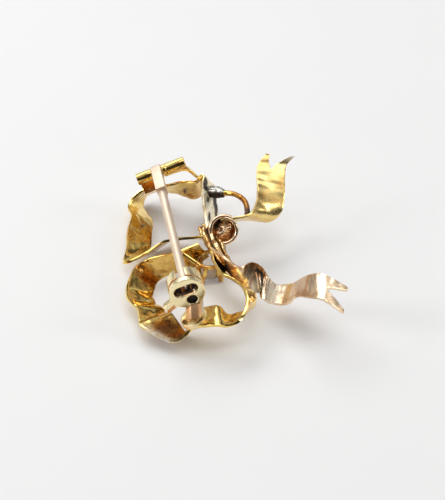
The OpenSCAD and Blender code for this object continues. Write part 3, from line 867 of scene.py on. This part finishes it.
def turned(obj, turn, move=(0, 0, 0)):
    # turns a piece about the origin, in degrees about the axes named, and then moves it
    m = Matrix.Translation(move)
    for axis, degrees in turn:
        m = m @ Matrix.Rotation(math.radians(degrees), 4, axis)
    obj.data.transform(m)
    obj.data.update()
    return obj


def tubePiece(name, outer, bore, length, edge):
    # open tube along z from 0 to its length
    bpy.ops.mesh.primitive_circle_add(vertices=64, radius=(outer + bore) / 2)
    obj = added(name)
    editAll(obj)
    bpy.ops.mesh.extrude_region_move(TRANSFORM_OT_translate={"value": (0, 0, length)})
    bpy.ops.mesh.select_all(action="SELECT")
    bpy.ops.mesh.normals_make_consistent(inside=False)
    closeEdit()
    modify(obj, "SOLIDIFY", thickness=outer - bore, offset=0)
    bevel(obj, edge, 3, 50)
    smooth(obj, 40)
    return obj


def cutBy(obj, tool):
    modify(obj, "BOOLEAN", operation="DIFFERENCE", solver="EXACT", object=tool)
    bpy.data.objects.remove(tool)


def blockPiece(name, size, middle, edge=0.0):
    bpy.ops.mesh.primitive_cube_add(size=1, location=middle)
    obj = added(name)
    obj.scale = size
    applyPlace(obj)
    if edge:
        bevel(obj, edge, 3, 50)
        smooth(obj, 40)
    return obj


def rodPiece(name, radius, length, sides):
    # solid rod along z from 0 to its length
    bpy.ops.mesh.primitive_cylinder_add(vertices=sides, radius=radius, depth=length,
                                        location=(0, 0, length / 2))
    obj = added(name)
    applyPlace(obj)
    return obj


# Claw setting round the stone, and the arm that carries it
stonePiece = {"place": (1.8, -1.3, -2.784), "diameter": 2.16, "gap": 0.04, "crown": 0.389}
settingPiece = {
    "claws": 4, "claw": 0.5, "wall": 0.17, "reach": 0.46, "over": 0.1,
    "lip": 1.15, "lipTaper": [0.9, 1, 0.75],
    "ringUp": 1.4, "ringHeight": 0.35, "ringOut": 0.1, "ringIn": 0.2, "ringEdge": 0.04, "clawUp": 0.2,
    "neck": (0.75, 0.75, 1.6), "neckOut": 0.97, "neckEdge": 0.15, "grain": 0.035,
    "arm": [(1.0, -1.4, -1.0), (0.5, -0.85, -0.5), (0.0, -0.2, -0.1)], "armWire": 0.48,
}


def makeSetting(piece):
    r = stonePiece["diameter"] / 2 + stonePiece["gap"] + piece["wall"]
    tip = -stonePiece["crown"] - piece["over"]
    top = piece["ringUp"] + piece["clawUp"]
    clawLine = [(0, piece["reach"], top), (0.03, 0.3, 0.55), (0.02, 0.04, -0.1), (0, 0, tip + 0.12)]
    lipLine = [(r + 0.02, 0, 0.1), (r + 0.01, 0, -0.25), (r - 0.1, 0, tip + 0.13)]
    ring = tubePiece("settingRing", r + piece["ringOut"], r - piece["ringIn"], piece["ringHeight"],
                     piece["ringEdge"])
    parts = [turned(ring, [], (0, 0, piece["ringUp"]))]
    for k in range(piece["claws"]):
        corner = [("Z", 360 / piece["claws"] * (k + 0.5))]
        for side in (-1, 1):
            line = [(r + out, side * sideways, up) for out, sideways, up in clawLine]
            parts.append(turned(wirePiece("clawWire", line, piece["claw"]), corner))
        lip = wirePiece("clawLip", lipLine, piece["claw"] * piece["lip"], taper=piece["lipTaper"])
        parts.append(turned(lip, corner))
    neck = blockPiece("settingNeck", piece["neck"], (0, 0, piece["neck"][2] / 2), piece["neckEdge"])
    parts.append(turned(neck, [("Z", 45)], (piece["neckOut"], piece["neckOut"], piece["ringUp"])))
    obj = cast(joinAll("setting", parts), piece["grain"], 6)
    stainAndShadeBy(obj, lambda q: 0.45 + 0.8 * noise.noise(q * 1.6))
    turned(obj, [("Y", lie["roll"])], stonePiece["place"])
    arm = wirePiece("settingArm", piece["arm"], piece["armWire"], sides=12)
    smooth(arm, 60)
    return joinAll("setting", [obj, arm])


bowPiece(makeSetting(settingPiece), gold["yellowGold"])
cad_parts["stone"].data.materials.clear()
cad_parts["stone"].data.materials.append(clearStone)
print("setting modelled")


def makeHinge(piece):
    collarEnd = piece["collar"] + piece["groove"]
    parts = []
    for start, length in ((-piece["gap"] - piece["left"], piece["left"]), (piece["gap"], piece["collar"]),
                          (piece["gap"] + collarEnd, piece["right"] - collarEnd)):
        tube = tubePiece("knuckle", piece["tube"] / 2, piece["bore"] / 2, length, piece["edge"])
        parts.append(turned(tube, [("Y", 90)], (start, piece["y"], piece["height"])))
    obj = joinAll("hingeTube", parts)
    # painted shade: the colour deepens towards the tube's underside
    stainAndShadeBy(obj, lambda q: 0.25 + 0.5 * (piece["height"] - q.z))
    return obj


bowPiece(makeHinge(hingePiece), gold["yellowGold"])


# Block under the left knuckle, dented and darkened, with painted shade deepening towards its bottom
hingeSeatPiece = {
    "size": (1.28, 0.6, 1.45), "up": 2.0, "edge": 0.06, "dents": (1.8, 0.05, 4.0),
    "sootAndShade": 0.35, "downwardShade": 0.2,
}


def makeHingeSeat(piece):
    middle = (-hingePiece["gap"] - hingePiece["left"] / 2, hingePiece["y"], piece["up"])
    obj = blockPiece("hingeSeat", piece["size"], middle, piece["edge"])
    modify(obj, "SUBSURF", levels=2, render_levels=2, subdivision_type="SIMPLE")
    pushAlong(obj, crumple(*piece["dents"]))
    stainAndShadeBy(obj, lambda q: 1.0, None, lambda q: piece["sootAndShade"] - piece["downwardShade"] * (q.z - piece["up"]))
    return obj


bowPiece(makeHingeSeat(hingeSeatPiece), gold["yellowGold"])


# Catch: foot, leaning post and drum
catchPiece = {
    "y": -8.1, "height": 3.1, "drum": 3.3, "length": 1.35, "bore": 2.04, "drumEdge": 0.16, "sides": 96,
    "slot": 0.96, "slotFloor": 0.2, "slotEdge": 0.09, "shadeBand": 0.14, "collar": 0.6, "gap": 0.07,
    "post": 1.8, "postSides": 8, "postEdge": 0.1, "postIn": 0.4, "postAside": 0.25, "postSheen": 0.3,
    "foot": (-0.3, -10.6, 0.2), "footSize": 2.5, "footHeight": 0.5, "footEdge": 0.05,
    "crescents": (200, 300, 60), "crescentOut": 0.95, "crescentUp": 0.35,  # turns in degrees
    "crescent": 0.34, "crescentSlim": 0.55,
}


def onAxis(obj, behind):
    # turns a rod onto the drum's axis, to start so far behind the drum's back face
    start = catchPiece["y"] - catchPiece["length"] - behind
    return turned(obj, [("X", -90)], (0, start, catchPiece["height"]))


def makeDrum(piece):
    bore = piece["bore"] / 2
    drum = rodPiece("catchDrum", piece["drum"] / 2, piece["length"], piece["sides"])
    bevel(drum, piece["drumEdge"], 5, 50)
    cutBy(drum, turned(rodPiece("bore", bore, piece["length"] + 2, piece["sides"]), [], (0, 0, -1)))
    cutBy(drum, blockPiece("slot", (piece["slot"], 2, 4), (0, -1 - piece["slotFloor"], 0.6)))
    bevel(drum, piece["slotEdge"], 3, 50)
    smooth(drum, 35)
    # painted shade: the deep colour in the bore and on the band by the collar
    stainAndShadeBy(drum, lambda q: 1.0 if q.z < piece["shadeBand"] or math.hypot(q.x, q.y) < bore + 0.02 else 0.0)
    return onAxis(drum, 0)


def makePost(piece):
    foot = Vector(piece["foot"])
    top = Vector((piece["postAside"] * piece["post"], piece["y"] - piece["length"] / 2,
                  piece["height"] - piece["drum"] / 2 + piece["postIn"]))
    lean = top - foot
    post = rodPiece("catchPost", piece["post"] / 2, lean.length, piece["postSides"])
    bevel(post, piece["postEdge"], 3, 30)
    post.data.transform(Matrix.Translation(foot) @ lean.to_track_quat("Z", "Y").to_matrix().to_4x4())
    room = piece["collar"] + 2 * piece["gap"]
    cutBy(post, onAxis(rodPiece("collarSpace", piece["drum"] / 2 + piece["gap"], room, piece["sides"]), room))
    cutBy(post, onAxis(rodPiece("sleeveSpace", piece["bore"] / 2, 4, 64), 1))
    smooth(post, 35)

    def washAndSheen(q):
        # painted highlight: the right side washed pale
        aside = q.x - foot.x - lean.x * (q.z - foot.z) / lean.z
        return 1.0 if aside > piece["postSheen"] * piece["post"] else 0.0

    # painted shade: the colour deepens towards the post's foot
    stainAndShadeBy(post, lambda q: 0.95 - 0.3 * q.z, washAndSheen)
    return post


def makeFoot(piece):
    rim = piece["footSize"] / 2
    foot = rodPiece("catchFoot", rim, piece["footHeight"], 64)
    for turn in piece["crescents"]:
        slot = rodPiece("crescent", piece["crescent"], 0.4, 24)
        slot.data.transform(Matrix.Translation((piece["crescentOut"], 0, piece["crescentUp"]))
                            @ Matrix.Scale(piece["crescentSlim"], 4, (1, 0, 0)))
        cutBy(foot, turned(slot, [("Z", turn)]))
    bevel(foot, piece["footEdge"], 2, 50)
    smooth(foot, 35)

    # painted shade: deep colour and soot-dark inside the crescent slots
    def hollow(q):
        return 1.0 if 0.2 < q.z < 0.47 and math.hypot(q.x, q.y) < rim - 0.02 else 0.0

    # painted highlight: the rim washed paler
    def washAndSheen(q):
        return 0.3 if math.hypot(q.x, q.y) > rim - 0.1 else 0.0

    stainAndShadeBy(foot, hollow, washAndSheen, lambda q: 0.6 * hollow(q))
    return turned(foot, [], piece["foot"])


bowPiece(makeDrum(catchPiece), gold["catchGold"])
bowPiece(makePost(catchPiece), gold["postGold"])
bowPiece(makeFoot(catchPiece), gold["tailGold"])
print("hinge and catch modelled")


# Wire bail and its solder
bailPiece = {
    "wire": 0.55, "dents": (1.3, 0.03, 6.0),
    "line": [
        (0.41, 0.82, -0.06),
        (0.52, 0.71, -0.05),
        (0.61, 0.66, -0.05),
        (0.69, 0.56, -0.05),
        (0.73, 0.44, -0.05),
        (0.73, 0.32, -0.05),
        (0.71, 0.20, -0.04),
    ],
    "taper": [1.1, 1.0, 0.98, 1, 1, 1.02, 1.1],
    "stainAndShade": 0.25, "endStain": 1.6, "stainReach": 3.4, "endSoot": 0.8, "sootReach": 2.0,
}
solderPiece = {
    "place": (4.7, 7.68, -0.5), "radius": 0.8, "turn": -40.0, "stretch": (1.75, 0.78, 0.75, 1),
    "dents": (1.5, 0.12, 8.0), "sootAndShade": 0.1,
    "shadeWay": (-1.1, -1.7, -0.9),  # painted shade, thicker to the left, near and below
}


def makeBail(piece):
    points = [Vector(p) * lie["spread"] for p in piece["line"]]
    obj = wirePiece("bail", points, piece["wire"], taper=piece["taper"], sides=12)
    modify(obj, "WELD", merge_threshold=0.0005)
    pushAlong(obj, crumple(*piece["dents"]))
    smooth(obj, 50)

    def nearEnd(q, reach):
        return bell((q - points[-1]).length, 0, reach)

    stainAndShadeBy(obj, lambda q: piece["stainAndShade"] + piece["endStain"] * nearEnd(q, piece["stainReach"]), None,
            lambda q: piece["endSoot"] * nearEnd(q, piece["sootReach"]))
    return obj


def makeSolder(piece):
    middle = Vector(piece["place"])
    bpy.ops.mesh.primitive_uv_sphere_add(segments=48, ring_count=32, radius=piece["radius"])
    obj = added("solderBlob")
    obj.data.transform(Matrix.Translation(middle) @ Matrix.Rotation(math.radians(piece["turn"]), 4, "Z")
                       @ Matrix.Diagonal(piece["stretch"]))
    pushAlong(obj, crumple(*piece["dents"]))
    smooth(obj, 60)
    stainAndShadeBy(obj, lambda q: 0.3 + 0.5 * noise.noise(q * 1.5), None,
            lambda q: piece["sootAndShade"] + (q - middle).dot(Vector(piece["shadeWay"])))
    return obj


bowPiece(makeBail(bailPiece), gold["yellowGold"])
bowPiece(makeSolder(solderPiece), gold["solderGrey"])
print("bail and solder modelled")


def polishedCopy(node, name, edge):
    # copy of a CAD piece with its edges broken as a polisher does
    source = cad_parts[node]
    obj = source.copy()
    obj.data = source.data.copy()
    bpy.context.collection.objects.link(obj)
    obj.name = name
    for key in list(obj.keys()):
        if key.startswith("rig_"):
            del obj[key]
    obj.parent = None
    obj.data.transform(Matrix.Scale(1000, 4))
    editAll(obj)
    bpy.ops.mesh.remove_doubles(threshold=0.0005)
    bpy.ops.mesh.dissolve_limited(angle_limit=math.radians(1))
    closeEdit()
    bevel(obj, edge, 3, 32)
    smooth(obj, 35)
    obj.data.transform(Matrix.Scale(0.001, 4))
    return obj


# Finish of the catch's turning part, with painted shade: its eye and round hole, the sleeve and the lever
rotorPiece = {
    "edge": 0.05, "grain": 0.05, "rounds": 8,
    "eyeUp": 3.46, "eyeHalf": (1.2, 0.64), "hole": (0.2, 2.21), "holeRadius": 0.56,
    "eyeShade": (0.03, 0.54), "eyeDarkShade": 0.45,  # mm into the collar
    "sleeve": 0.9, "leverFrom": -1.5, "leverSlope": 0.445, "leverUnder": 0.05,
}


def rotorShade(obj, piece):
    # painted shade: the collar's face by the drum, its holes' walls and the lever's underside take the deep
    # colour, and the eye is soot-dark
    obj.data.transform(lieMatrix.inverted())
    cast(obj, piece["grain"], piece["rounds"])
    face = catchPiece["y"] - catchPiece["length"] - catchPiece["gap"]
    axis = catchPiece["height"]

    def inEye(q):
        wide, high = piece["eyeHalf"]
        x, z = piece["hole"]
        inHole = math.hypot(q.x - x, q.z - z) < piece["holeRadius"]
        return inHole or (q.x / wide) ** 2 + ((q.z - piece["eyeUp"]) / high) ** 2 < 1

    def deep(q):
        start, end = piece["eyeShade"]
        into = face - q.y
        if start < into < end and inEye(q):
            return 1.0
        if into < 0.09:
            return 1.0 if math.hypot(q.x, q.z - axis) < piece["sleeve"] or into > -0.04 else 0.2
        under = axis + piece["leverSlope"] * q.x - piece["leverUnder"]
        return 1.0 if q.x < piece["leverFrom"] and q.z < under else 0.0

    stainAndShadeBy(obj, deep, None, lambda q: 1.0 if inEye(q) and face - q.y < piece["eyeDarkShade"] else 0.0)
    obj.data.transform(lieMatrix)
    return obj


pinStem = polishedCopy("pin_stem", "pinStem", 0.14)
catchRotor = rotorShade(polishedCopy("catch_rotor", "catchRotor", rotorPiece["edge"]), rotorPiece)
hingeRivet = polishedCopy("hinge_rivet", "hingeRivet", 0.06)
handOver(pinStem, "pin", gold["pinGold"], "pin_stem")
handOver(catchRotor, "catch", gold["catchGold"], "catch_rotor")
handOver(hingeRivet, "bow_body", gold["roseGold"], "hinge_rivet")
print("pin, catch and rivet polished")


# Table, light and camera
studio = {
    "tableColour": (0.84, 0.845, 0.85, 1), "tableGrain": (0.97, 1.0), "tableGlow": (1, 0.99, 0.98, 1),
    "roomDark": (0.05, 0.045, 0.04, 1), "roomBright": (1.0, 0.99, 0.97, 1), "roomStrength": 0.575,
    "roomTilt": 0.9, "roomEdge": (-0.1, 0.9), "roomClouds": (0.4, 0.6), "cloudStrength": (0.08, 1.6),
    "lens": 108.0, "distance": 0.150, "elevation": 38.0, "target": (-0.0008, 0.0039, 0.0),
    "softBoxes": [  # name, place, size and power; all face the brooch
        ("softBoxBack", (-0.13, 0.18, 0.25), (0.30, 0.16), 0.45),
        ("softBoxTop", (0.05, -0.02, 0.35), (0.25, 0.25), 0.3),
        ("softBoxLeft", (-0.25, -0.05, 0.12), (0.05, 0.12), 0.2),
        ("softBoxRight", (0.24, -0.04, 0.16), (0.06, 0.09), 0.11),
    ],
}


def makeTable():
    bpy.ops.mesh.primitive_plane_add(size=2.0, location=(0, 0, 0))
    table = added("table")
    mat = newMaterial("paleTable")
    tree = mat.node_tree
    where = put(tree, "ShaderNodeTexCoord")
    grain = clouded(tree, where.outputs["Object"], Scale=60.0, Detail=2.0)
    tone = ranged(tree, grain, (0.0, 1.0), studio["tableGrain"])
    colour = blended(tree, 1.0, studio["tableColour"], tone, blend_type="MULTIPLY")
    principled(tree, colour, Roughness=0.75, Emission_Color=studio["tableGlow"], Emission_Strength=0.1)
    table.data.materials.append(mat)


def makeRoom():
    # light tent, dark where the camera stands
    world = bpy.data.worlds.new("room")
    bpy.context.scene.world = world
    world.use_nodes = True
    tree = world.node_tree
    tree.nodes.clear()
    link = tree.links.new
    way = put(tree, "ShaderNodeTexCoord").outputs["Generated"]
    parts = put(tree, "ShaderNodeSeparateXYZ")
    link(way, parts.inputs[0])
    high = computed(tree, "MULTIPLY_ADD", parts.outputs["Y"], studio["roomTilt"], parts.outputs["Z"])
    shade = ranged(tree, high, studio["roomEdge"], interpolation_type="SMOOTHSTEP")
    clouds = clouded(tree, way, Scale=3.2, Detail=2.0)
    uneven = ranged(tree, clouds, studio["roomClouds"], studio["cloudStrength"])
    bright = computed(tree, "MULTIPLY", shade, uneven)
    colour = blended(tree, bright, studio["roomDark"], studio["roomBright"])
    sky = put(tree, "ShaderNodeBackground", Strength=studio["roomStrength"])
    out = put(tree, "ShaderNodeOutputWorld")
    link(colour, sky.inputs["Color"])
    link(sky.outputs["Background"], out.inputs["Surface"])


def softBox(name, place, size, power):
    bpy.ops.object.light_add(type="AREA", location=place)
    lamp = added(name)
    lamp.data.shape = "RECTANGLE"
    lamp.data.size, lamp.data.size_y = size
    lamp.data.energy = power
    lamp.rotation_euler = (-Vector(place)).to_track_quat("-Z", "Y").to_euler()


def makeCamera():
    e = math.radians(studio["elevation"])
    back = Vector((0, -math.cos(e), math.sin(e)))
    bpy.ops.object.camera_add(location=Vector(studio["target"]) + back * studio["distance"])
    camera = bpy.context.object
    camera.rotation_euler = (-back).to_track_quat("-Z", "Y").to_euler()
    camera.data.lens = studio["lens"]
    camera.data.sensor_width = 36.0
    camera.data.clip_start = 0.001
    bpy.context.scene.camera = camera


makeTable()
makeRoom()
for box in studio["softBoxes"]:
    softBox(*box)
makeCamera()
bpy.context.scene.view_settings.view_transform = "Standard"
print("table, light and camera placed")
